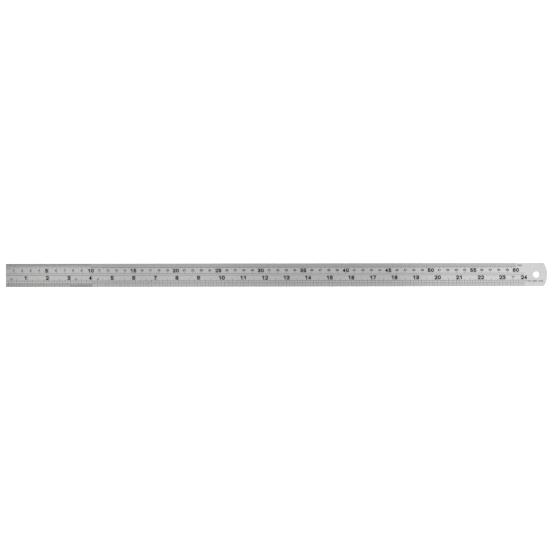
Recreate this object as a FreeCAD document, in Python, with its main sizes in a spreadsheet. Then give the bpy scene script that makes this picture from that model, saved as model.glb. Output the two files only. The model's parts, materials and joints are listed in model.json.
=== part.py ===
"""Steel ruler, 60 cm and 24 in long: one stamped stainless blade, and the black filling of its marks.

Frame: +X runs along the ruler from the square zero end, +Y points to the metric edge, and +Z out of
the graduated face. The origin is on the zero end, at mid-width, in the plane of the back face.
"""
import FreeCAD, Part
import math
import os
import Sketcher

Vector = FreeCAD.Vector

# Driving dimensions, in millimetres. Depths are distances in from the edge that a scale stands on.
DIMENSIONS = [
    ("blade_length", 637.0),
    ("blade_width", 27.5),
    ("blade_thickness", 1.0),
    ("end_radius", 25.0),
    ("corner_radius", 0.8),
    ("hole_radius", 3.6),
    ("hole_inset", 13.0),
    ("mark_thickness", 0.02),
    ("edge_margin", 0.2),
    ("inch_pitch", 25.4),
    ("fine_width", 0.18),
    ("mark_width", 0.24),
    ("long_inch_mark_width", 0.3),
    ("rail_width", 0.3),
    ("sixteenth_rail_width", 0.2),
    ("divider_width", 0.28),
    ("half_millimetre_depth", 2.3),
    ("millimetre_depth", 4.6),
    ("five_millimetre_depth", 6.3),
    ("upper_divider_depth", 11.7),
    ("lower_divider_depth", 13.7),
    ("divider_end", 609.6),
    ("sixty_fourth_depth", 2.3),
    ("thirty_second_depth", 3.6),
    ("sixteenth_depth", 4.8),
    ("eighth_depth", 7.0),
    ("quarter_depth", 8.4),
    ("half_inch_depth", 9.9),
    ("major_height", 4.6),
    ("major_width", 3.3),
    ("major_gap", 0.7),
    ("major_stroke", 1.15),
    ("major_centre_depth", 8.35),
    ("minor_height", 2.3),
    ("minor_width", 1.65),
    ("minor_gap", 0.5),
    ("minor_stroke", 0.52),
    ("minor_centre_depth", 8.1),
    ("inch_height", 4.9),
    ("inch_width", 3.4),
    ("inch_gap", 0.7),
    ("inch_stroke", 1.2),
    ("inch_centre_depth", 10.6),
    ("fineness_height", 1.7),
    ("fineness_stroke", 0.38),
    ("fineness_start", 5.1),
    ("fineness_centre_depth", 9.3),
    ("zero_unit_height", 1.2),
    ("zero_unit_stroke", 0.22),
    ("zero_unit_start", 1.2),
    ("zero_unit_centre_depth", 6.0),
    ("metric_unit_height", 1.9),
    ("metric_unit_stroke", 0.4),
    ("metric_unit_start", 601.9),
    ("metric_unit_centre_depth", 3.0),
    ("inch_unit_height", 2.2),
    ("inch_unit_stroke", 0.56),
    ("inch_unit_start", 595.4),
    ("inch_unit_centre_depth", 11.1),
    ("legend_height", 1.75),
    ("legend_stroke", 0.42),
    ("legend_start", 611.0),
    ("legend_centre_depth", 6.2),
]

CENTIMETRES = 60
INCHES = 24
FINE_CENTIMETRES = 10  # the half-millimetre marks stop here
FINE_INCHES = 4  # the 1/32 in marks stop here, and the 1/64 in marks fill the last of these inches

doc = FreeCAD.newDocument("SteelRuler")
sheet = doc.addObject("Spreadsheet::Sheet", "Dimensions")
for row, (alias, value) in enumerate(DIMENSIONS, start=1):
    sheet.set(f"A{row}", alias)
    sheet.set(f"B{row}", str(value))
    sheet.setAlias(f"B{row}", alias)
doc.recompute()

sub_parts = []


def size(alias):
    """Value of one driving dimension."""
    return float(getattr(sheet, alias))


def bound(expression):
    """The expression with each dimension's name pointed at the spreadsheet."""
    for alias, _ in sorted(DIMENSIONS, key=lambda item: -len(item[0])):
        expression = expression.replace(f"<{alias}>", f"Dimensions.{alias}")
    return expression


def origin_feature(body, role):
    """The body's own origin plane or axis of that role."""
    return next(item for item in body.Origin.OriginFeatures if item.Role == role)


def new_body(label):
    """An empty body that becomes one sub-part."""
    body = doc.addObject("PartDesign::Body", label)
    body.Label = label
    sub_parts.append(body)
    return body


def place(body, x, y, z):
    """Bind the body's placement to expressions in the driving dimensions."""
    for axis, expression in zip("xyz", (x, y, z)):
        body.setExpression(f"Placement.Base.{axis}", bound(expression))


def new_sketch(body, name):
    """A sketch on the body's own XY plane."""
    sketch = body.newObject("Sketcher::SketchObject", name)
    sketch.AttachmentSupport = [(origin_feature(body, "XY_Plane"), "")]
    sketch.MapMode = "FlatFace"
    return sketch


def constrain(sketch, kind, name, expression, drawn, *geometry):
    """Add a named dimension to the sketch, as large as it is drawn, and bind it to an expression."""
    index = sketch.addConstraint(Sketcher.Constraint(kind, *geometry, drawn))
    sketch.renameConstraint(index, name)
    sketch.setExpression(f"Constraints.{name}", bound(expression))


def rectangle_pad(body, name, length_x, length_y):
    """A rectangle with one corner on the body's origin, as thick as the marks' filling."""
    sketch = new_sketch(body, f"{name}_outline")
    corners = [Vector(0, 0, 0), Vector(1, 0, 0), Vector(1, 1, 0), Vector(0, 1, 0)]
    sides = [Part.LineSegment(corners[i], corners[(i + 1) % 4]) for i in range(4)]
    sketch.addGeometry(sides, False)
    for i in range(4):
        sketch.addConstraint(Sketcher.Constraint("Coincident", i, 2, (i + 1) % 4, 1))
    for i in (0, 2):
        sketch.addConstraint(Sketcher.Constraint("Horizontal", i))
    for i in (1, 3):
        sketch.addConstraint(Sketcher.Constraint("Vertical", i))
    sketch.addConstraint(Sketcher.Constraint("Coincident", 0, 1, -1, 1))
    constrain(sketch, "DistanceX", "along", length_x, 1.0, 0, 1, 0, 2)
    constrain(sketch, "DistanceY", "across", length_y, 1.0, 1, 1, 1, 2)
    pad = body.newObject("PartDesign::Pad", f"{name}_pad")
    pad.Profile = sketch
    pad.setExpression("Length", bound("<mark_thickness>"))
    doc.recompute()
    return pad


def repeat(body, original, steps):
    """Repeat a feature: each step is (role of the axis, count, pitch expression)."""
    patterns = []
    for number, (role, count, pitch) in enumerate(steps, start=1):
        pattern = doc.addObject("PartDesign::LinearPattern", f"{body.Label}_row_{number}")
        pattern.Direction = (origin_feature(body, role), [""])
        pattern.Occurrences = count
        pattern.setExpression("Length", bound(f"({pitch}) * {count - 1}"))
        patterns.append(pattern)
    multi = body.newObject("PartDesign::MultiTransform", f"{body.Label}_rows")
    multi.Originals = [original]
    multi.Transformations = patterns
    body.Tip = multi


def metric_marks(label, first, depth, width, steps):
    """Marks that start at the metric edge: first is the first mark's reading, in millimetres."""
    body = new_body(label)
    pad = rectangle_pad(body, label, width, f"{depth} - <edge_margin>")
    repeat(body, pad, steps)
    place(body, f"{first} - {width} / 2", f"<blade_width> / 2 - {depth}", "<blade_thickness>")


def inch_marks(label, first, depth, width, count, pitch):
    """Marks that start at the inch edge: first and pitch are readings, in inches."""
    body = new_body(label)
    pad = rectangle_pad(body, label, width, f"{depth} - <edge_margin>")
    repeat(body, pad, [("X_Axis", count, f"<inch_pitch> * {pitch}")])
    left = f"<inch_pitch> * {first} - {width} / 2"
    place(body, left, "<edge_margin> - <blade_width> / 2", "<blade_thickness>")


def rail(label, start, y, count, pitch, mark_width, rail_width="<rail_width>"):
    """A fine line along the ends of a row of marks, in pieces that fit between the longer marks."""
    body = new_body(label)
    pad = rectangle_pad(body, label, f"{pitch} - {mark_width}", rail_width)
    repeat(body, pad, [("X_Axis", count, pitch)])
    place(body, f"{start} + {mark_width} / 2", y, "<blade_thickness>")


def blade():
    """The stamped strip: square zero end, rounded far end, and a hole to hang it by."""
    body = new_body("blade")
    sketch = new_sketch(body, "blade_outline")
    width = size("blade_width")
    centre_x = size("blade_length") - size("end_radius")
    corner_x = centre_x + math.sqrt(size("end_radius") ** 2 - (width / 2) ** 2)
    zero_low, zero_high = Vector(0, -width / 2, 0), Vector(0, width / 2, 0)
    far_low, far_high = Vector(corner_x, -width / 2, 0), Vector(corner_x, width / 2, 0)
    sketch.addGeometry(Part.LineSegment(zero_high, zero_low), False)
    sketch.addGeometry(Part.LineSegment(zero_low, far_low), False)
    sketch.addGeometry(Part.Arc(far_low, Vector(size("blade_length"), 0, 0), far_high), False)
    sketch.addGeometry(Part.LineSegment(far_high, zero_high), False)
    for i in range(4):
        sketch.addConstraint(Sketcher.Constraint("Coincident", i, 2, (i + 1) % 4, 1))
    sketch.addConstraint(Sketcher.Constraint("Vertical", 0))
    sketch.addConstraint(Sketcher.Constraint("Horizontal", 1))
    sketch.addConstraint(Sketcher.Constraint("Horizontal", 3))
    sketch.addConstraint(Sketcher.Constraint("Symmetric", 0, 1, 0, 2, -1, 1))
    sketch.addConstraint(Sketcher.Constraint("PointOnObject", 2, 3, -1))
    constrain(sketch, "DistanceY", "width", "<blade_width>", width, 0, 2, 0, 1)
    constrain(sketch, "Radius", "end_radius", "<end_radius>", size("end_radius"), 2)
    constrain(sketch, "DistanceX", "end_centre", "<blade_length> - <end_radius>", centre_x, -1, 1, 2, 3)
    pad = body.newObject("PartDesign::Pad", "blade_pad")
    pad.Profile = sketch
    pad.setExpression("Length", bound("<blade_thickness>"))
    doc.recompute()

    far_corners = []
    for number, edge in enumerate(pad.Shape.Edges, start=1):
        low, high = edge.Vertexes[0].Point, edge.Vertexes[-1].Point
        upright = abs(low.z - high.z) > size("blade_thickness") / 2
        if upright and low.x > size("blade_length") / 2:
            far_corners.append(f"Edge{number}")
    fillet = body.newObject("PartDesign::Fillet", "far_corner_rounding")
    fillet.Base = (pad, far_corners)
    fillet.setExpression("Radius", bound("<corner_radius>"))
    doc.recompute()

    hole_sketch = new_sketch(body, "hang_hole_outline")
    hole_centre = Vector(size("blade_length") - size("hole_inset"), 0, 0)
    hole_sketch.addGeometry(Part.Circle(hole_centre, Vector(0, 0, 1), size("hole_radius")), False)
    hole_sketch.addConstraint(Sketcher.Constraint("PointOnObject", 0, 3, -1))
    constrain(hole_sketch, "Radius", "hole_radius", "<hole_radius>", size("hole_radius"), 0)
    hole_x = "<blade_length> - <hole_inset>"
    constrain(hole_sketch, "DistanceX", "hole_x", hole_x, hole_centre.x, -1, 1, 0, 3)
    pocket = body.newObject("PartDesign::Pocket", "hang_hole")
    pocket.Profile = hole_sketch
    pocket.Reversed = True
    pocket.setExpression("Length", bound("<blade_thickness> * 2"))
    doc.recompute()
    body.Tip = pocket
    removed = fillet.Shape.Volume - pocket.Shape.Volume
    expected = math.pi * size("hole_radius") ** 2 * size("blade_thickness")
    if abs(removed - expected) > expected * 0.01:
        raise RuntimeError(f"the hang hole removed {removed:.2f} mm3 and not {expected:.2f} mm3")


def metric_scale():
    """The graduation along the metric edge."""
    metric_marks(
        "metric_half_mm_marks",
        0.5,
        "<half_millimetre_depth>",
        "<fine_width>",
        [("X_Axis", FINE_CENTIMETRES * 10, "1")],
    )
    metric_marks(
        "metric_mm_marks",
        1,
        "<millimetre_depth>",
        "<mark_width>",
        [("X_Axis", 4, "1"), ("X_Axis", 2, "5"), ("X_Axis", CENTIMETRES, "10")],
    )
    metric_marks(
        "metric_5mm_marks",
        5,
        "<five_millimetre_depth>",
        "<mark_width>",
        [("X_Axis", CENTIMETRES, "10")],
    )
    metric_marks(
        "metric_cm_marks",
        10,
        "<upper_divider_depth>",
        "<mark_width>",
        [("X_Axis", CENTIMETRES, "10")],
    )
    rail(
        "metric_mm_rail",
        FINE_CENTIMETRES * 10,
        "<blade_width> / 2 - <millimetre_depth> - <rail_width>",
        (CENTIMETRES - FINE_CENTIMETRES) * 2,
        "5",
        "<mark_width>",
    )


def inch_scale():
    """The graduation along the inch edge."""
    fine_count = FINE_INCHES * 16
    first_64th = FINE_INCHES - 1 + 1 / 64
    inch_marks("inch_64th_marks", first_64th, "<sixty_fourth_depth>", "<fine_width>", 32, 1 / 32)
    inch_marks("inch_32nd_marks", 1 / 32, "<thirty_second_depth>", "<fine_width>", fine_count, 1 / 16)
    inch_marks("inch_16th_marks", 1 / 16, "<sixteenth_depth>", "<mark_width>", INCHES * 8, 1 / 8)
    long_width = "<long_inch_mark_width>"
    inch_marks("inch_8th_marks", 1 / 8, "<eighth_depth>", long_width, INCHES * 4, 1 / 4)
    inch_marks("inch_quarter_marks", 1 / 4, "<quarter_depth>", long_width, INCHES * 2, 1 / 2)
    inch_marks("inch_half_marks", 1 / 2, "<half_inch_depth>", long_width, INCHES, 1)
    whole_depth = "(<blade_width> - <lower_divider_depth> - <divider_width>)"
    inch_marks("inch_marks", 1, whole_depth, long_width, INCHES, 1)
    edge = "-<blade_width> / 2"
    sixteenth, eighth, quarter = (f"<inch_pitch> / {share}" for share in (16, 8, 4))
    rail("inch_32nd_rail", "0", f"{edge} + <thirty_second_depth>", fine_count, sixteenth, long_width)
    rail(
        "inch_16th_rail",
        f"<inch_pitch> * {FINE_INCHES}",
        f"{edge} + <sixteenth_depth>",
        (INCHES - FINE_INCHES) * 8,
        eighth,
        long_width,
        "<sixteenth_rail_width>",
    )
    rail("inch_8th_rail", "0", f"{edge} + <eighth_depth>", INCHES * 4, quarter, long_width)


def divider_lines():
    """The two long lines between the scales."""
    body = new_body("scale_divider_lines")
    pad = rectangle_pad(body, "scale_divider", "<divider_end> - <edge_margin>", "<divider_width>")
    repeat(body, pad, [("Y_Axis", 2, "<lower_divider_depth> - <upper_divider_depth>")])
    low_line = "<blade_width> / 2 - <lower_divider_depth> - <divider_width>"
    place(body, "<edge_margin>", low_line, "<blade_thickness>")


# Numerals and letters. Each character is a few strokes of one thickness with round ends. A stroke is
# a path along the stroke's middle, whose points are (x, y) or (x, y, corner rounding).
LABEL_WIDTHS = {"m": 1.3, "n": 0.8, "i": 0.24, "/": 0.5, " ": 0.3}  # as shares of the height
LABEL_DIGIT_WIDTH = 0.78
LABEL_GAP = 0.22
ROUNDNESS = 0.98  # a full bowl's radius, as a share of the largest that its two sides leave room for


def character_strokes(character, half, top, bend):
    """Strokes of a character that spans x from -half to half and y from 0 to top.

    Each stroke is (closed or not, points); bend is the radius of a bowl as tall as the character, and
    small that of a bowl half as tall.
    """
    middle = top * 0.53
    small = min(middle, top - middle) / 2 * ROUNDNESS
    strokes = {
        "0": [(True, [(-half, 0, bend), (half, 0, bend), (half, top, bend), (-half, top, bend)])],
        "1": [(False, [(-half * 0.8, top * 0.76), (half * 0.35, top), (half * 0.35, 0)])],
        "2": [
            (
                False,
                [
                    (-half, top - bend * 0.9),
                    (-half, top, bend * 0.85),
                    (half, top, bend),
                    (half, top * 0.5, small),
                    (-half, 0),
                    (half, 0),
                ],
            )
        ],
        "3": [
            (False, [(-half, top - small * 0.8), (-half, top, small * 0.75), (half, top, small),
                     (half, middle, small), (-half * 0.3, middle)]),
            (False, [(-half * 0.3, middle), (half, middle, small), (half, 0, small),
                     (-half, 0, small * 0.75), (-half, small * 0.8)]),
        ],
        "4": [
            (False, [(half * 0.4, 0), (half * 0.4, top)]),
            (False, [(half * 0.4, top), (-half, top * 0.28), (half, top * 0.28)]),
        ],
        "5": [
            (
                False,
                [
                    (half * 0.9, top),
                    (-half * 0.8, top),
                    (-half * 0.95, top * 0.58),
                    (half, top * 0.58, small),
                    (half, 0, small),
                    (-half, 0, small * 0.8),
                    (-half, top * 0.24),
                ],
            )
        ],
        "6": [
            (True, [(-half, 0, small), (half, 0, small), (half, middle, small), (-half, middle, small)]),
            (False, [(-half, middle / 2), (-half, top, bend), (half, top, bend * 0.7), (half, top * 0.82)]),
        ],
        "7": [(False, [(-half, top), (half, top), (-half * 0.2, 0)])],
        "8": [
            (True, [(-half, 0, small), (half, 0, small), (half, middle, small), (-half, middle, small)]),
            (True, [(-half * 0.9, middle, small), (half * 0.9, middle, small),
                    (half * 0.9, top, small), (-half * 0.9, top, small)]),
        ],
        "m": [
            (False, [(-half, 0), (-half, top, bend * 0.5), (0, top, bend * 0.4), (0, 0)]),
            (False, [(0, 0), (0, top, bend * 0.4), (half, top, bend * 0.4), (half, 0)]),
        ],
        "n": [(False, [(-half, 0), (-half, top, bend * 0.7), (half, top, bend * 0.7), (half, 0)])],
        "i": [(False, [(0, 0), (0, top)])],
        "/": [(False, [(-half * 0.7, 0), (half * 0.7, top)])],
    }
    if character == "9":
        six = strokes["6"]
        return [(closed, [(-p[0], top - p[1], *p[2:]) for p in points]) for closed, points in six]
    return strokes[character]


def rounded_wire(points, closed):
    """A wire of straight runs through the points, with an arc at each point that has a rounding."""
    count = len(points)
    corners = []
    for i, point in enumerate(points):
        here = Vector(point[0], point[1], 0)
        is_end = not closed and i in (0, count - 1)
        if is_end or len(point) < 3:
            corners.append((here, None, here))
            continue
        before = Vector(*points[i - 1][:2], 0) - here
        after = Vector(*points[(i + 1) % count][:2], 0) - here
        before.normalize()
        after.normalize()
        half_angle = before.getAngle(after) / 2
        inward = (before + after).normalize()
        reach = point[2] / math.tan(half_angle)
        arc_middle = here + inward * (point[2] / math.sin(half_angle) - point[2])
        corners.append((here + before * reach, arc_middle, here + after * reach))
    edges = []
    for i in range(count if closed else count - 1):
        start = corners[i][2]
        end, arc_middle, arc_end = corners[(i + 1) % count]
        if start.distanceToPoint(end) > 1e-6:
            edges.append(Part.makeLine(start, end))
        if arc_middle is not None:
            edges.append(Part.Arc(end, arc_middle, arc_end).toShape())
    return Part.Wire(edges)


def straight_outline(start, end, thickness):
    """Outline of one straight stroke with round ends."""
    reach = thickness / 2
    along = Vector(end[0] - start[0], end[1] - start[1], 0).normalize() * reach
    side = Vector(-along.y, along.x, 0)
    low, high = Vector(*start, 0) - along, Vector(*end, 0) + along
    corners = [low - side, high - side, high + side, low + side]
    return rounded_wire([(corner.x, corner.y, reach) for corner in corners], True)


def stroke_solid(points, closed, thickness):
    """One stroke as a flat solid that is as thick as the marks' filling."""
    if len(points) == 2:
        face = Part.Face(straight_outline(*points, thickness))
    else:
        path = rounded_wire(points, closed)
        face = Part.Face(path.makeOffset2D(thickness / 2, 0))
        if closed:
            face = face.cut(Part.Face(path.makeOffset2D(-thickness / 2, 0)))
    return face.extrude(Vector(0, 0, size("mark_thickness")))


def character_solid(character, width, height, stroke):
    """A character centred on the origin, from its strokes joined into one solid."""
    half = (width - stroke) / 2
    top = height - stroke
    bend = min(half, top / 2) * ROUNDNESS
    pieces = []
    for closed, points in character_strokes(character, half, top, bend):
        pieces.append(stroke_solid(points, closed, stroke))
    solid = pieces[0]
    if len(pieces) > 1:
        solid = solid.fuse(pieces[1:]).removeSplitter()
    solid = solid.Solids[0]
    return solid.translated(Vector(0, -top / 2, 0))


made_characters = {}


def character_at(character, width, height, stroke, x, y):
    """A copy of a character's solid with its middle at x, y on the graduated face."""
    key = (character, round(width, 4), round(height, 4), round(stroke, 4))
    if key not in made_characters:
        made_characters[key] = character_solid(character, width, height, stroke)
    return made_characters[key].translated(Vector(x, y, size("blade_thickness")))


def numeral_at_mark(number, style, mark_x, y):
    """A number at a long mark: two digits stand either side of it, and a single digit to its left."""
    height, width, gap, stroke = (size(f"{style}_{part}") for part in ("height", "width", "gap", "stroke"))
    offset = (width + gap) / 2
    digits = str(number)
    places = [-offset] if len(digits) == 1 else [-offset, offset]
    return [character_at(d, width, height, stroke, mark_x + shift, y) for d, shift in zip(digits, places)]


def label_at(text, style, x, y):
    """A small label: its characters stand in a row from x, with their middles at y."""
    height, stroke = size(f"{style}_height"), size(f"{style}_stroke")
    solids = []
    for character in text:
        width = LABEL_WIDTHS.get(character, LABEL_DIGIT_WIDTH) * height
        if character != " ":
            solids.append(character_at(character, width, height, stroke, x + width / 2, y))
        x += width + height * LABEL_GAP
    return solids


def filled_characters(label, solids):
    """One sub-part that holds the filling of several characters as separate solids."""
    feature = doc.addObject("Part::Feature", label)
    feature.Label = label
    feature.Shape = Part.makeCompound(solids)
    sub_parts.append(feature)


def numerals():
    """The numbers of both scales."""
    metric_edge = size("blade_width") / 2
    inch_edge = -size("blade_width") / 2
    major_y = metric_edge - size("major_centre_depth")
    minor_y = metric_edge - size("minor_centre_depth")
    inch_y = inch_edge + size("inch_centre_depth")
    majors, minors, inches = [], [], []
    for centimetre in range(1, CENTIMETRES + 1):
        if centimetre % 5 == 0:
            majors += numeral_at_mark(centimetre, "major", centimetre * 10, major_y)
        else:
            minors += numeral_at_mark(centimetre, "minor", centimetre * 10, minor_y)
    for inch in range(1, INCHES + 1):
        inches += numeral_at_mark(inch, "inch", inch * size("inch_pitch"), inch_y)
    filled_characters("metric_major_numerals", majors)
    filled_characters("metric_minor_numerals", minors)
    filled_characters("inch_numerals", inches)


def labels():
    """The small labels: how fine each stretch of the inch scale is, the units, and a legend."""
    metric_edge = size("blade_width") / 2
    inch_edge = -size("blade_width") / 2
    fineness = []
    for text, inch in (("32", 0), ("64", FINE_INCHES - 1), ("16", FINE_INCHES)):
        start = inch * size("inch_pitch") + size("fineness_start")
        fineness += label_at(text, "fineness", start, inch_edge + size("fineness_centre_depth"))
    filled_characters("inch_division_labels", fineness)

    units = []
    for text, style in (("mm", "zero_unit"), ("mm", "metric_unit")):
        depth = size(f"{style}_centre_depth")
        units += label_at(text, style, size(f"{style}_start"), metric_edge - depth)
    inch_unit_y = inch_edge + size("inch_unit_centre_depth")
    units += label_at("in", "inch_unit", size("inch_unit_start"), inch_unit_y)
    filled_characters("unit_labels", units)

    legend_y = inch_edge + size("legend_centre_depth")
    legend = label_at("1/16 1/32 1/64", "legend", size("legend_start"), legend_y)
    filled_characters("division_legend", legend)


def check_and_export():
    """Stop on any failed object or bad shape, then write one STEP file for each sub-part."""
    doc.recompute()
    for item in doc.Objects:
        if "Invalid" in item.State or "Error" in item.State:
            raise RuntimeError(f"{item.Label} failed: {item.State}")
    os.makedirs("parts", exist_ok=True)
    for item in sub_parts:
        shape = item.Shape
        if shape.isNull() or not shape.isValid():
            raise RuntimeError(f"{item.Label} has no valid shape")
        shape.exportStep(f"parts/{item.Label}.step")
        print(f"{item.Label}: {len(shape.Solids)} solids, {shape.Volume:.3f} mm3")


blade()
metric_scale()
inch_scale()
divider_lines()
numerals()
labels()
check_and_export()
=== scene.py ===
"""Looks of the steel ruler: an etched, satin-brushed blade and the black filling of its marks.

The frame gives every mark's outline. All of them are cut into the blade's face as shallow recesses with
sloping walls, and each row of marks then gets its own filling, which lies just below the face.
"""
import json
import math

import bpy
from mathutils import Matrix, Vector
from mathutils.geometry import delaunay_2d_cdt


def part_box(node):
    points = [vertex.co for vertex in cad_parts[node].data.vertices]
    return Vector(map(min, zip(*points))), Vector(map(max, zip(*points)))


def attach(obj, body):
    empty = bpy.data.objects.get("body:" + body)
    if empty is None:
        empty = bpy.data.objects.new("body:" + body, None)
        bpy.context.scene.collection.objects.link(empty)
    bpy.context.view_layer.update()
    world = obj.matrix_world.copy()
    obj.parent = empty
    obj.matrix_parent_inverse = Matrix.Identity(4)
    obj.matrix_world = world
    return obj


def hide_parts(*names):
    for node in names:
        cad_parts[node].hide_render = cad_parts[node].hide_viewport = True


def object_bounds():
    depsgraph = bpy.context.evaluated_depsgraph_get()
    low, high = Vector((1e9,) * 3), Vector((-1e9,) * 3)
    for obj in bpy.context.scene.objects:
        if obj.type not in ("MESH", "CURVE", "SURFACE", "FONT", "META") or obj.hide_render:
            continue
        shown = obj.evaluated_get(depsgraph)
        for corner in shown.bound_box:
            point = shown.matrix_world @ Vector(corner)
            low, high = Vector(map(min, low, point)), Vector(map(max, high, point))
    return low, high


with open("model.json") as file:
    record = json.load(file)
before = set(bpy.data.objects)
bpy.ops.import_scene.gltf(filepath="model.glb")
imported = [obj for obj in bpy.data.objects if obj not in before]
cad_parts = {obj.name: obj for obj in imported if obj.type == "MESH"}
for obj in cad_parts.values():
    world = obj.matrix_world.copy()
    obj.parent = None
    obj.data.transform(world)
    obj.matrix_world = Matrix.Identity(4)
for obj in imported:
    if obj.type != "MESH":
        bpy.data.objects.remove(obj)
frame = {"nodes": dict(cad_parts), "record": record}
cad_low, cad_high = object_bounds()

MM = 0.001
scene = bpy.context.scene


# ---------------------------------------------------------------- materials

# How fine each noise is, in waves per metre along X, Y and Z. Most are drawn out along the blade.
BRUSHING = (60, 11000, 11000)
STREAKS = (9, 1500, 1500)
SCRATCHES = (45, 5200, 5200)
MOTTLE = (420, 420, 420)
PATCHES = (14, 40, 40)
EDGE_LINES = (90, 90, 16000)
INK_CLOUDS = (900, 900, 900)
INK_GRIT = (26000, 26000, 26000)

STEEL_DARK = (0.43, 0.43, 0.427)
STEEL_LIGHT = (0.53, 0.53, 0.526)
INK_DARK = (0.003, 0.003, 0.0035)
INK_LIGHT = (0.010, 0.010, 0.011)
BRUSH_DEPTH = 0.00002  # height of the steel's relief, in metres
GRIT_HEIGHT = 0.000004
QUARTER_TURN = 0.25  # turns the gloss from along the grain to across it
LENGTHWISE_UV = "lengthwise"


def new_material(name):
    """A node material and its node tree, with only an output and a Principled shader."""
    material = bpy.data.materials.new(name)
    material.use_nodes = True
    tree = material.node_tree
    tree.nodes.clear()
    output = tree.nodes.new("ShaderNodeOutputMaterial")
    shader = tree.nodes.new("ShaderNodeBsdfPrincipled")
    tree.links.new(shader.outputs["BSDF"], output.inputs["Surface"])
    return material, tree, shader


def noise(tree, per_metre, detail, roughness=0.6):
    """Noise in the object's own space, from 0 to 1; per_metre is how fine it is along X, Y and Z."""
    coordinates = tree.nodes.new("ShaderNodeTexCoord")
    mapping = tree.nodes.new("ShaderNodeMapping")
    mapping.inputs["Scale"].default_value = per_metre
    texture = tree.nodes.new("ShaderNodeTexNoise")
    texture.inputs["Scale"].default_value = 1.0
    texture.inputs["Detail"].default_value = detail
    texture.inputs["Roughness"].default_value = roughness
    tree.links.new(coordinates.outputs["Object"], mapping.inputs["Vector"])
    tree.links.new(mapping.outputs["Vector"], texture.inputs["Vector"])
    return texture.outputs["Fac"]


def spread(tree, value, low, high, source_low=0.3, source_high=0.7):
    """A value from source_low to source_high, spread to run from low to high."""
    node = tree.nodes.new("ShaderNodeMapRange")
    node.inputs["From Min"].default_value = source_low
    node.inputs["From Max"].default_value = source_high
    node.inputs["To Min"].default_value = low
    node.inputs["To Max"].default_value = high
    tree.links.new(value, node.inputs["Value"])
    return node.outputs["Result"]


def combine(tree, operation, first, second):
    """A Math node over two values, each a socket or a number."""
    node = tree.nodes.new("ShaderNodeMath")
    node.operation = operation
    for socket, value in zip(node.inputs, (first, second)):
        if isinstance(value, (int, float)):
            socket.default_value = value
        else:
            tree.links.new(value, socket)
    return node.outputs["Value"]


def weighted(tree, *terms):
    """The sum of some values, each times its own weight."""
    total = None
    for value, weight in terms:
        term = combine(tree, "MULTIPLY", value, weight)
        total = term if total is None else combine(tree, "ADD", total, term)
    return total


def mix_colours(tree, share, first, second):
    """A colour between two plain colours."""
    node = tree.nodes.new("ShaderNodeMix")
    node.data_type = "RGBA"
    node.inputs["A"].default_value = (*first, 1)
    node.inputs["B"].default_value = (*second, 1)
    tree.links.new(share, node.inputs["Factor"])
    return node.outputs["Result"]


def bump(tree, shader, height, strength, distance):
    """Relief on the shader's surface; distance is its height in metres."""
    node = tree.nodes.new("ShaderNodeBump")
    node.inputs["Strength"].default_value = strength
    node.inputs["Distance"].default_value = distance
    tree.links.new(height, node.inputs["Height"])
    tree.links.new(node.outputs["Normal"], shader.inputs["Normal"])


def satin_steel():
    """Stainless steel brushed along the blade: fine lines, faint streaks, a mottle and light scratches."""
    material, tree, shader = new_material("satin_steel")
    shader.inputs["Metallic"].default_value = 1.0
    shader.inputs["Anisotropic"].default_value = 0.45
    shader.inputs["Anisotropic Rotation"].default_value = QUARTER_TURN
    tangent = tree.nodes.new("ShaderNodeTangent")
    tangent.direction_type = "UV_MAP"
    tangent.uv_map = LENGTHWISE_UV
    tree.links.new(tangent.outputs["Tangent"], shader.inputs["Tangent"])
    brushing = noise(tree, BRUSHING, 3)
    streaks = noise(tree, STREAKS, 3)
    mottle = noise(tree, MOTTLE, 3)
    patches = noise(tree, PATCHES, 2)
    scratches = spread(tree, noise(tree, SCRATCHES, 1), 0, 1, 0.68, 0.76)
    lines = weighted(tree, (brushing, 0.55), (streaks, 0.45))
    clouds = weighted(tree, (mottle, 0.6), (patches, 0.4))
    tone = weighted(tree, (lines, 0.6), (clouds, 0.4), (scratches, 0.08))
    colour = mix_colours(tree, spread(tree, tone, 0, 1, 0.4, 0.6), STEEL_DARK, STEEL_LIGHT)
    tree.links.new(colour, shader.inputs["Base Color"])
    dullness = weighted(tree, (brushing, 0.6), (clouds, 0.4), (scratches, -0.15))
    tree.links.new(spread(tree, dullness, 0.28, 0.43), shader.inputs["Roughness"])
    relief = weighted(tree, (brushing, 1.0), (scratches, -0.5))
    bump(tree, shader, relief, 0.3, BRUSH_DEPTH)
    return material


def cut_steel():
    """The blade's ground edges and the wall of its punched hole: brighter, with fine lines along them."""
    material, tree, shader = new_material("cut_steel")
    shader.inputs["Metallic"].default_value = 1.0
    lines = noise(tree, EDGE_LINES, 3)
    colour = mix_colours(tree, spread(tree, lines, 0, 1), STEEL_DARK, STEEL_LIGHT)
    tree.links.new(colour, shader.inputs["Base Color"])
    tree.links.new(spread(tree, lines, 0.22, 0.36), shader.inputs["Roughness"])
    bump(tree, shader, lines, 0.1, BRUSH_DEPTH)
    return material


def black_filling():
    """Matt black baked paint in the etched marks, slightly uneven in tone and grainy."""
    material, tree, shader = new_material("black_filling")
    cloud = noise(tree, INK_CLOUDS, 3)
    grit = noise(tree, INK_GRIT, 2)
    colour = mix_colours(tree, spread(tree, cloud, 0, 1), INK_DARK, INK_LIGHT)
    tree.links.new(colour, shader.inputs["Base Color"])
    tree.links.new(spread(tree, grit, 0.5, 0.72), shader.inputs["Roughness"])
    shader.inputs["Specular IOR Level"].default_value = 0.15
    bump(tree, shader, grit, 0.15, GRIT_HEIGHT)
    return material


SATIN_STEEL = satin_steel()
CUT_STEEL = cut_steel()
BLACK_FILLING = black_filling()


# ---------------------------------------------------------------- outlines, in millimetres

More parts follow.
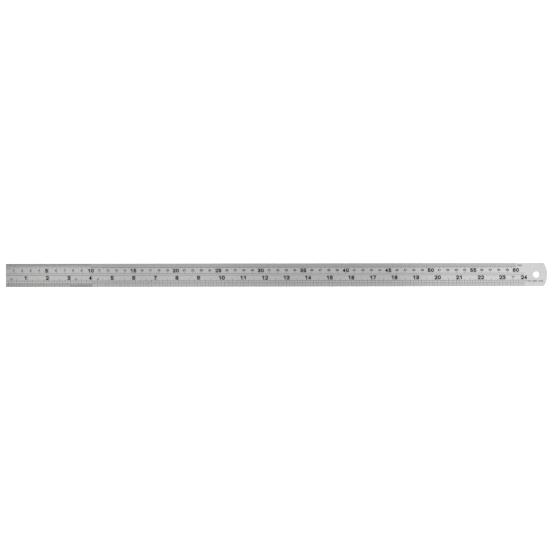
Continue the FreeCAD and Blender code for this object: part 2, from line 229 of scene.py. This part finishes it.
EDGE_ROUNDING = 0.1  # radius of the broken edges along the blade's outline and its hole
EDGE_STEPS = 4
ZERO_CORNER = 0.3  # radius of the two corners at the zero end, seen from above
FAR_CORNER = 0.8
END_RADIUS = 25.0
SIDE_STEP = 2.5  # spacing of the points on the blade's long sides
RECESS_DEPTH = 0.02
RECESS_SLOPE = 0.03  # how far a recess's walls run in over its depth
FILLING_TOP = 0.1  # depth of the filling's top and underside, as shares of the recess's depth
FILLING_UNDERSIDE = 0.9
SHARPEST_CORNER = 0.4  # holds back how far a recess's sharp corner is moved in
POINT_TOLERANCE = 0.0005  # points closer than this become one
ALL_TRIANGLES = 0  # asks the triangulation for everything inside its outlines' hull

blade_low, blade_high = (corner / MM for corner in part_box("blade"))
LENGTH = blade_high.x - blade_low.x
HALF_WIDTH = (blade_high.y - blade_low.y) / 2
THICKNESS = blade_high.z - blade_low.z
hang_hole = next(mount for mount in frame["record"]["mounts"] if mount["name"] == "hang_hole")
HOLE_X = hang_hole["pos_m"][0] / MM
HOLE_RADIUS = hang_hole["dims"]["r_mm"]


def arc(centre_x, centre_y, radius, start, end, steps):
    """Points on an arc, both ends among them; the angles are in radians."""
    turns = [start + (end - start) * step / steps for step in range(steps + 1)]
    return [(centre_x + radius * math.cos(turn), centre_y + radius * math.sin(turn)) for turn in turns]


def with_steps(points, step):
    """A closed outline with further points on each run that is longer than step."""
    result = []
    for i, (x, y) in enumerate(points):
        next_x, next_y = points[(i + 1) % len(points)]
        count = max(1, round(math.hypot(next_x - x, next_y - y) / step))
        result += [(x + (next_x - x) * k / count, y + (next_y - y) * k / count) for k in range(count)]
    return result


def blade_outline(inset):
    """The blade's outline, drawn in by inset, with the inside on its left."""
    centre_x = LENGTH - END_RADIUS
    far_y = HALF_WIDTH - FAR_CORNER
    far_x = centre_x + math.sqrt((END_RADIUS - FAR_CORNER) ** 2 - far_y**2)
    swing = math.atan2(far_y, far_x - centre_x)
    zero_y = HALF_WIDTH - ZERO_CORNER
    quarter = math.pi / 2
    points = arc(ZERO_CORNER, -zero_y, ZERO_CORNER - inset, -2 * quarter, -quarter, 6)
    points += arc(far_x, -far_y, FAR_CORNER - inset, -quarter, -swing, 10)
    points += arc(centre_x, 0, END_RADIUS - inset, -swing, swing, 64)[1:-1]
    points += arc(far_x, far_y, FAR_CORNER - inset, swing, quarter, 10)
    points += arc(ZERO_CORNER, zero_y, ZERO_CORNER - inset, quarter, 2 * quarter, 6)
    return with_steps(points, SIDE_STEP)


def hole_outline(inset):
    """The hang hole's outline, made wider by inset, with the hole on its left."""
    return arc(HOLE_X, 0, HOLE_RADIUS + inset, 0, 2 * math.pi, 96)[:-1]


def rims(node):
    """Closed outlines of a CAD node's flat tops: a rim is an edge that only one triangle has."""
    mesh = node.data
    edges = set()
    for polygon in mesh.polygons:
        if polygon.normal.z > 0.9:
            corners = [tuple(mesh.vertices[i].co.xy / MM) for i in polygon.vertices]
            edges.update(zip(corners, corners[1:] + corners[:1]))
    following = {start: end for start, end in edges if (end, start) not in edges}
    outlines = []
    while following:
        start, point = next(iter(following.items()))
        outline = [start]
        del following[start]
        while point != start:
            outline.append(point)
            point = following.pop(point)
        outlines.append(outline)
    return outlines


# ---------------------------------------------------------------- the etched plane and its pieces

class EtchedPlane:
    """The blade's face as triangles in millimetres, each known as bare steel or as one node's mark."""

    def __init__(self, blade_rims, node_rims):
        """blade_rims are the outline and the hole; node_rims gives each black node's outlines."""
        points, loops, owners = [], [], []
        for owner, outlines in [(None, [rim]) for rim in blade_rims] + list(node_rims.items()):
            for outline in outlines:
                first = len(points)
                points += outline
                loops.append(list(range(first, len(points))))
                owners.append(owner)
        faces = [loop if turns_left([points[i] for i in loop]) else loop[::-1] for loop in loops]
        places = [Vector(point) for point in points]
        found = delaunay_2d_cdt(places, [], faces, ALL_TRIANGLES, POINT_TOLERANCE, True)
        self.points, _, triangles, sources, _, within = found
        place_of = {source: place for place, group in enumerate(sources) for source in group}
        self.blade_rims = [[place_of[i] for i in loop] for loop in loops[:2]]
        self.steel, self.marks = [], {name: [] for name in node_rims}
        for triangle, holders in zip(triangles, within):
            if 0 not in holders or 1 in holders:
                continue
            held = [owners[holder] for holder in holders if holder > 1]
            odd = [name for name in dict.fromkeys(held) if held.count(name) % 2]
            (self.marks[odd[0]] if odd else self.steel).append(tuple(triangle))
        self.inward = self.inward_steps()

    def inward_steps(self):
        """For each point on a recess's rim, the step that moves both its sides in by one."""
        marked = [triangle for triangles in self.marks.values() for triangle in triangles]
        normals = {}
        for start, end in open_sides(marked):
            run = self.points[end] - self.points[start]
            normal = Vector((-run.y, run.x)).normalized()
            for point in (start, end):
                normals.setdefault(point, []).append(normal)
        steps = {}
        for point, (first, *others) in normals.items():
            if len(others) == 1:
                half = (first + others[0]) / 2
                steps[point] = half / max(half.length_squared, SHARPEST_CORNER)
        return steps

    def at(self, point, depth_share):
        """Where a point lies on its recess's wall, at that share of the depth, in metres."""
        step = self.inward.get(point, Vector((0, 0))) * (RECESS_SLOPE * depth_share)
        x, y = self.points[point] + step
        return x * MM, y * MM, (THICKNESS - RECESS_DEPTH * depth_share) * MM


def turns_left(outline):
    """Whether a closed outline has its inside on the left."""
    pairs = zip(outline, outline[1:] + outline[:1])
    return sum(x * next_y - next_x * y for (x, y), (next_x, next_y) in pairs) > 0


def open_sides(triangles):
    """The directed sides that only one of the triangles has."""
    sides = {(t[k], t[(k + 1) % 3]) for t in triangles for k in range(3)}
    return sorted(side for side in sides if side[::-1] not in sides)


class MeshParts:
    """Collects a mesh's points and faces; a key stands for a point that several faces share."""

    def __init__(self):
        self.places, self.faces, self.kinds, self.index = [], [], [], {}

    def point(self, key, place):
        if key not in self.index:
            self.index[key] = len(self.places)
            self.places.append(place)
        return self.index[key]

    def face(self, corners, kind=0):
        self.faces.append(corners)
        self.kinds.append(kind)

    def build(self, name, materials, smooth_kinds=()):
        """The finished object; a face's kind picks its material."""
        mesh = bpy.data.meshes.new(name)
        mesh.from_pydata(self.places, [], self.faces)
        for material in materials:
            mesh.materials.append(material)
        mesh.polygons.foreach_set("material_index", self.kinds)
        mesh.polygons.foreach_set("use_smooth", [kind in smooth_kinds for kind in self.kinds])
        mesh.update()
        obj = bpy.data.objects.new(name, mesh)
        scene.collection.objects.link(obj)
        return obj


def add_lengthwise_uv(mesh):
    """A UV map whose U runs along the blade, or across it on its ends, and gives the grain a direction."""
    layer = mesh.uv_layers.new(name=LENGTHWISE_UV)
    for polygon in mesh.polygons:
        faces_end = abs(polygon.normal.x) > 0.7
        faces_up = abs(polygon.normal.z) > 0.5
        for loop in polygon.loop_indices:
            x, y, z = mesh.vertices[mesh.loops[loop].vertex_index].co
            layer.uv[loop].vector = (y if faces_end else x, y if faces_up else z)


def edge_rings():
    """(inset, height) of the rings that round an edge, from the face down to the back, in millimetres."""
    turns = [math.pi / 2 * step / EDGE_STEPS for step in range(EDGE_STEPS + 1)]
    curve = [(EDGE_ROUNDING * (1 - math.sin(t)), EDGE_ROUNDING * (1 - math.cos(t))) for t in turns]
    upper = [(inset, THICKNESS - drop) for inset, drop in curve]
    return upper + curve[::-1]


def etched_blade(plane):
    """The blade: its face with all the recesses, rounded edges, the punched hole and a plain back."""
    parts = MeshParts()
    face_kind, edge_kind = 0, 1
    for triangle in plane.steel:
        parts.face([parts.point(("top", i), plane.at(i, 0)) for i in triangle], face_kind)
    marked = [triangle for triangles in plane.marks.values() for triangle in triangles]
    for triangle in marked:
        parts.face([parts.point(("floor", i), plane.at(i, 1)) for i in triangle], face_kind)
    for start, end in open_sides(marked):
        rim = [parts.point(("top", i), plane.at(i, 0)) for i in (start, end)]
        foot = [parts.point(("floor", i), plane.at(i, 1)) for i in (end, start)]
        parts.face(rim + foot, face_kind)

    rings = edge_rings()
    back = []
    for number, outline in enumerate((blade_outline, hole_outline)):
        above = [parts.point(("top", i), plane.at(i, 0)) for i in plane.blade_rims[number]]
        for level, (inset, height) in enumerate(rings[1:]):
            ring = [
                parts.point((number, level, i), (x * MM, y * MM, height * MM))
                for i, (x, y) in enumerate(outline(inset))
            ]
            for i in range(len(ring)):
                after = (i + 1) % len(ring)
                quad = [above[i], ring[i], ring[after], above[after]]
                parts.face(quad if number == 0 else quad[::-1], edge_kind)
            above = ring
        back.append(above)

    corners = back[0] + back[1]
    flat = [Vector(parts.places[i][:2]) / MM for i in corners]
    count = len(back[0])
    loops = [list(range(count)), list(range(count, len(corners)))]
    found = delaunay_2d_cdt(flat, [], loops, ALL_TRIANGLES, POINT_TOLERANCE, True)
    _, _, triangles, sources, _, within = found
    for triangle, holders in zip(triangles, within):
        if 0 in holders and 1 not in holders:
            parts.face([corners[sources[i][0]] for i in reversed(triangle)], face_kind)

    blade = parts.build("etched_blade", [SATIN_STEEL, CUT_STEEL], smooth_kinds=(edge_kind,))
    add_lengthwise_uv(blade.data)
    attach(blade, "root")
    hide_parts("blade")


def filling(plane, name):
    """The black filling of one node's marks, a closed solid in each of their recesses."""
    parts = MeshParts()
    triangles = plane.marks[name]
    for triangle in triangles:
        top = [parts.point(("top", i), plane.at(i, FILLING_TOP)) for i in triangle]
        underside = [parts.point(("under", i), plane.at(i, FILLING_UNDERSIDE)) for i in triangle]
        parts.face(top)
        parts.face(underside[::-1])
    for start, end in open_sides(triangles):
        top = [parts.point(("top", i), None) for i in (end, start)]
        underside = [parts.point(("under", i), None) for i in (start, end)]
        parts.face(top + underside)
    piece = parts.build(f"{name}_filling", [BLACK_FILLING])
    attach(piece, "root")
    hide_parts(name)


black_nodes = {name: node for name, node in frame["nodes"].items() if name != "blade"}
etched_plane = EtchedPlane(
    [blade_outline(EDGE_ROUNDING), hole_outline(EDGE_ROUNDING)],
    {name: rims(node) for name, node in sorted(black_nodes.items())},
)
etched_blade(etched_plane)
for black_node in black_nodes:
    filling(etched_plane, black_node)


# ---------------------------------------------------------------- floor, light and camera

FLOOR_REACH = 6.0
FLOOR_HEIGHT = -0.0001  # just below the blade's back
CEILING_ENERGY = 2.4
CEILING_ANGLE = math.radians(60)
WORLD_BRIGHTNESS = 0.55

# A row of soft panels lies above the blade, edge to edge: where each one ends and the next one starts
# along X, and how bright each is beside the world. The joints were chosen one by one. The brightnesses
# were not: a scratch script fitted them to the steel's tone in the photo, by least squares.
OVERHEAD_HEIGHT = 0.25
OVERHEAD_DEPTH = 0.375
OVERHEAD_JOINTS = (-0.03, 0.08, 0.17, 0.26, 0.49, 0.57, 0.80)
OVERHEAD_BRIGHTNESS = (0.64, 0.45, 0.59, 0.41, 0.77, 0.91)


def floor():
    """A plain, pale floor that the ruler lies on."""
    mesh = bpy.data.meshes.new("floor")
    corners = [(-1, -1), (1, -1), (1, 1), (-1, 1)]
    places = [(x * FLOOR_REACH, y * FLOOR_REACH, FLOOR_HEIGHT) for x, y in corners]
    mesh.from_pydata(places, [], [(0, 1, 2, 3)])
    obj = bpy.data.objects.new("floor", mesh)
    scene.collection.objects.link(obj)
    material, _, shader = new_material("pale_floor")
    shader.inputs["Base Color"].default_value = (0.9, 0.9, 0.9, 1)
    shader.inputs["Roughness"].default_value = 1.0
    shader.inputs["Specular IOR Level"].default_value = 0.0
    mesh.materials.append(material)


def overhead_panel(name, start_x, end_x, brightness):
    """A soft light close above the ruler, from start_x to end_x, that the blade mirrors to the camera."""
    light = bpy.data.lights.new(name, "AREA")
    light.shape = "RECTANGLE"
    light.size = end_x - start_x
    light.size_y = OVERHEAD_DEPTH
    light.energy = brightness * math.pi * light.size * light.size_y
    panel = bpy.data.objects.new(name, light)
    panel.location = ((start_x + end_x) / 2, 0, OVERHEAD_HEIGHT)
    panel.visible_camera = False
    scene.collection.objects.link(panel)


def overhead_row():
    """All the panels above the blade."""
    spans = zip(OVERHEAD_JOINTS, OVERHEAD_JOINTS[1:], OVERHEAD_BRIGHTNESS)
    for number, (start_x, end_x, brightness) in enumerate(spans, 1):
        overhead_panel(f"overhead_panel_{number}", start_x, end_x, brightness)


def ceiling_light():
    """Wide, even light from straight above for the floor, which the blade doesn't mirror."""
    light = bpy.data.lights.new("ceiling_light", "SUN")
    light.energy = CEILING_ENERGY
    light.angle = CEILING_ANGLE
    ceiling = bpy.data.objects.new("ceiling_light", light)
    ceiling.visible_glossy = False
    scene.collection.objects.link(ceiling)


def studio_world():
    """A plain white world, dim enough that the steel reads as grey against the floor."""
    world = bpy.data.worlds.new("studio")
    world.use_nodes = True
    background = world.node_tree.nodes["Background"]
    background.inputs["Color"].default_value = (1, 1, 1, 1)
    background.inputs["Strength"].default_value = WORLD_BRIGHTNESS
    scene.world = world
    scene.view_settings.view_transform = "Standard"


CAMERA_DISTANCE = 3.0
CAMERA_ROLL = math.radians(-0.1)
CAMERA_OFFSET = -0.0018  # from the ruler's middle, along X
VIEW_MARGIN = 1.016  # width of the view, beside the ruler's length
SENSOR = 36.0
CLIP_END = 20.0


def overhead_camera():
    """A camera straight above the ruler, whose view is filled by its length."""
    middle_x = (cad_low.x + cad_high.x) / 2
    view_width = (cad_high.x - cad_low.x) * VIEW_MARGIN
    camera_data = bpy.data.cameras.new("camera")
    camera_data.sensor_width = SENSOR
    camera_data.lens = SENSOR * CAMERA_DISTANCE / view_width
    camera_data.clip_end = CLIP_END
    camera = bpy.data.objects.new("camera", camera_data)
    camera.location = (middle_x + CAMERA_OFFSET, 0.0, CAMERA_DISTANCE)
    camera.rotation_euler = (0, 0, CAMERA_ROLL)
    scene.collection.objects.link(camera)
    bpy.context.scene.camera = camera


floor()
overhead_row()
ceiling_light()
studio_world()
overhead_camera()
